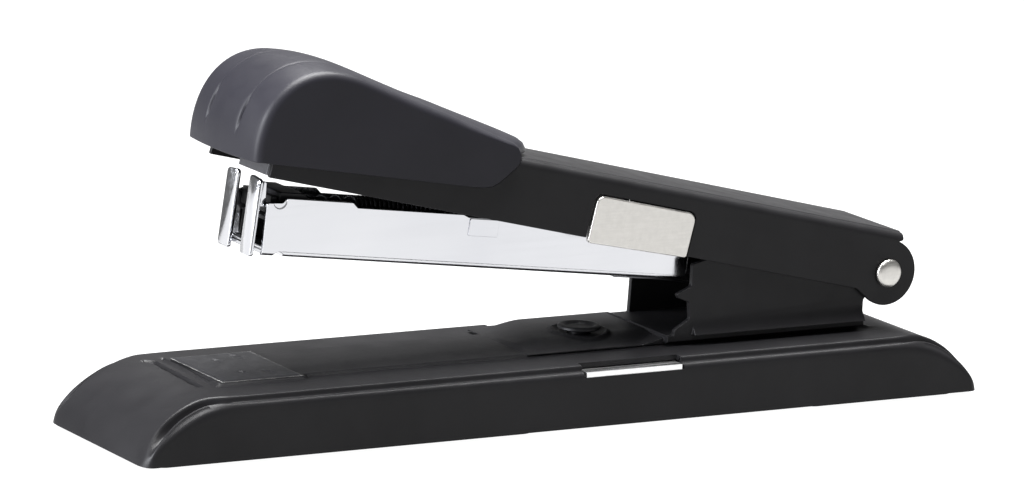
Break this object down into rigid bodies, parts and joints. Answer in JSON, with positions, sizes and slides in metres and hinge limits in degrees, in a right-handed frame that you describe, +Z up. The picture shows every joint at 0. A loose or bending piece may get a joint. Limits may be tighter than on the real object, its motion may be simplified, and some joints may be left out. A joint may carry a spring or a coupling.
{
  "type": "stapler",
  "caption": "Full-strip desk stapler with an arched base, a chrome magazine raised on a spring and a tapering handle arm, all turning on one rear hinge pin.",
  "frame": {"origin": "middle of the footprint, at the bottom of the rubber pads", "axes": "+Z up, +Y from the nose towards the hinge end, +X towards the stapler's left side"},
  "size_m": [0.044, 0.2, 0.0773],
  "materials": {
    "black_paint": "satin black baked enamel",
    "cap_plastic": "satin charcoal plastic",
    "chrome_plate": "bright chrome plate",
    "nickel_plate": "satin nickel plate",
    "zinc_plate": "bright zinc plate",
    "anvil_steel": "black plate with bright worn pockets",
    "spring_steel": "oiled spring steel",
    "blackened_steel": "blackened steel",
    "pad_rubber": "matt black rubber"
  },
  "bodies": {
    "base": {"base_shell": "black_paint", "base_stiffener": "zinc_plate", "front_rubber_pad": "pad_rubber", "rear_rubber_pad": "pad_rubber", "anvil_spring": "spring_steel", "hinge_bracket": "black_paint", "bracket_rivet_front": "blackened_steel", "bracket_rivet_rear": "blackened_steel", "hinge_pin": "nickel_plate", "pivot_bush_left": "nickel_plate", "pivot_bush_right": "nickel_plate"},
    "anvil": {"anvil_plate": "anvil_steel", "anvil_stud": "nickel_plate"},
    "magazine": {"magazine_sleeve": "chrome_plate", "staple_channel": "chrome_plate", "core_rail": "blackened_steel", "spring_anchor": "blackened_steel", "pusher_rod": "blackened_steel", "rod_front_stop": "blackened_steel", "rail_rivet_rear": "nickel_plate", "rail_rivet_front": "nickel_plate", "pusher_spring": "spring_steel", "magazine_lift_spring": "spring_steel"},
    "pusher": {"pusher": "blackened_steel"},
    "arm": {"arm": "black_paint", "side_plate_left": "nickel_plate", "side_plate_right": "nickel_plate", "head_cap": "cap_plastic", "driver_blade": "spring_steel", "driver_holder": "blackened_steel", "driver_rivet_left": "spring_steel", "driver_rivet_right": "spring_steel", "arm_return_spring": "spring_steel", "arm_spring_clip": "blackened_steel"}
  },
  "joints": [
    {"name": "magazine_pivot", "type": "hinge", "parent": "base", "child": "magazine", "pos_m": [0, 0.0804, 0.0264], "axis": [-1, 0, 0], "range_deg": [-8.6, 70], "stiffness_Nm_per_rad": 3, "springref_deg": 2.29, "deforming": ["magazine_lift_spring"]},
    {"name": "arm_pivot", "type": "hinge", "parent": "magazine", "child": "arm", "pos_m": [0, 0.0804, 0.0264], "axis": [-1, 0, 0], "range_deg": [-6.15, 95], "stiffness_Nm_per_rad": 2, "springref_deg": 2.01, "deforming": ["arm_return_spring"]},
    {"name": "pusher_slide", "type": "slide", "parent": "magazine", "child": "pusher", "axis": [0, 0.9925, -0.1219], "range_m": [0, 0.1], "stiffness_N_per_m": 15, "springref_m": -0.06, "deforming": ["pusher_spring"]},
    {"name": "anvil_turn", "type": "hinge", "parent": "base", "child": "anvil", "pos_m": [0, -0.0685, 0.0155], "axis": [0, 0, 1], "range_deg": [0, 180]}
  ]
}
